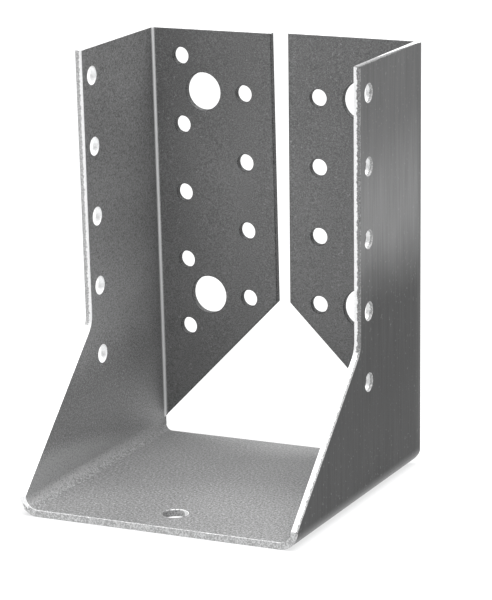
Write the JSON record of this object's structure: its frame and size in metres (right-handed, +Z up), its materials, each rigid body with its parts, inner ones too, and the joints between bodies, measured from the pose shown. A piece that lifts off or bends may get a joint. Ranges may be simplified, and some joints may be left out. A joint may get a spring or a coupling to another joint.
{
  "type": "joist hanger",
  "caption": "Folded sheet-steel joist hanger: a flat seat, side walls with slanted front edges, and inward flanges with nail and bolt holes for a header beam.",
  "frame": {"origin": "under the seat, in the middle of the part's footprint", "axes": "+X across the joist to the right as seen from the joist, +Y back at the header beam, +Z up"},
  "size_m": [0.084, 0.085, 0.122],
  "materials": {
    "galvanised_sheet": "zinc-coated, fine matt grain, bright sheared edges"
  },
  "bodies": {
    "root": {"hanger": "galvanised_sheet"}
  },
  "joints": []
}
